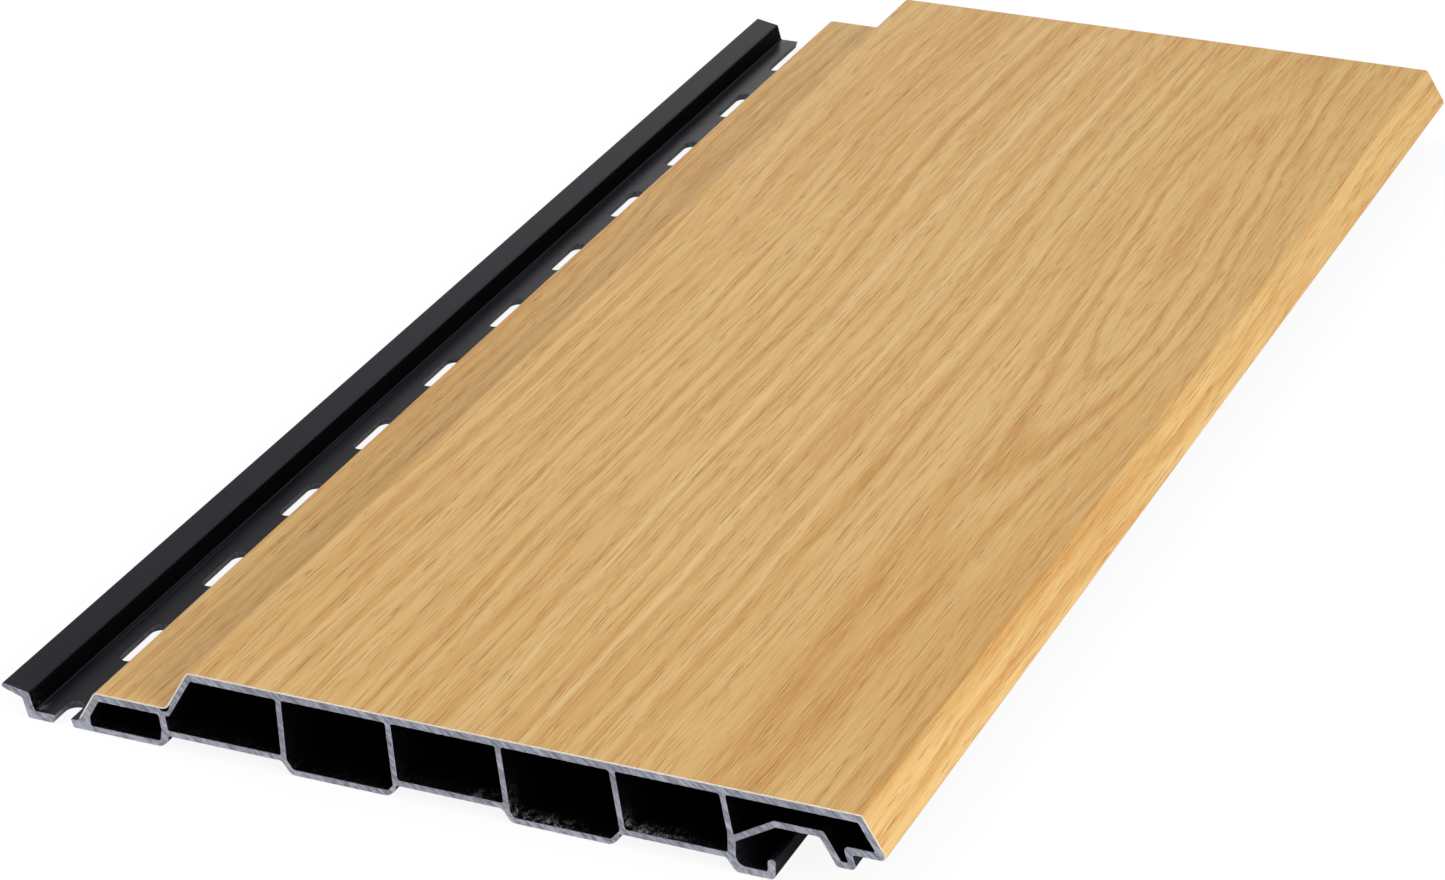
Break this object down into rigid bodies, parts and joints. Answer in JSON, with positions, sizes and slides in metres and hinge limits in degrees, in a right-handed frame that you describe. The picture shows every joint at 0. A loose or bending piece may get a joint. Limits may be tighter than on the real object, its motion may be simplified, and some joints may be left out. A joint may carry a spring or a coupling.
{
  "type": "hollow-chamber outdoor wall panel",
  "caption": "Extruded hollow-chamber cladding board with wood-look face, slotted fixing flange on one edge and interlocking hook, groove and lip on the other.",
  "frame": {"origin": "middle of the footprint on the plane of the back, which is the plane that the board lies on", "axes": "+X across the board from the slotted flange to the hooked edge, +Y along the board's length, +Z out of the wood-look face"},
  "size_m": [0.2286, 0.4596, 0.022],
  "materials": {
    "pvc": "rigid PVC, satin dark grey extruded skin, sawn ends blue-grey, outer faces laminated with light oak decor foil"
  },
  "bodies": {
    "root": {"wall_panel": "pvc"}
  },
  "joints": []
}
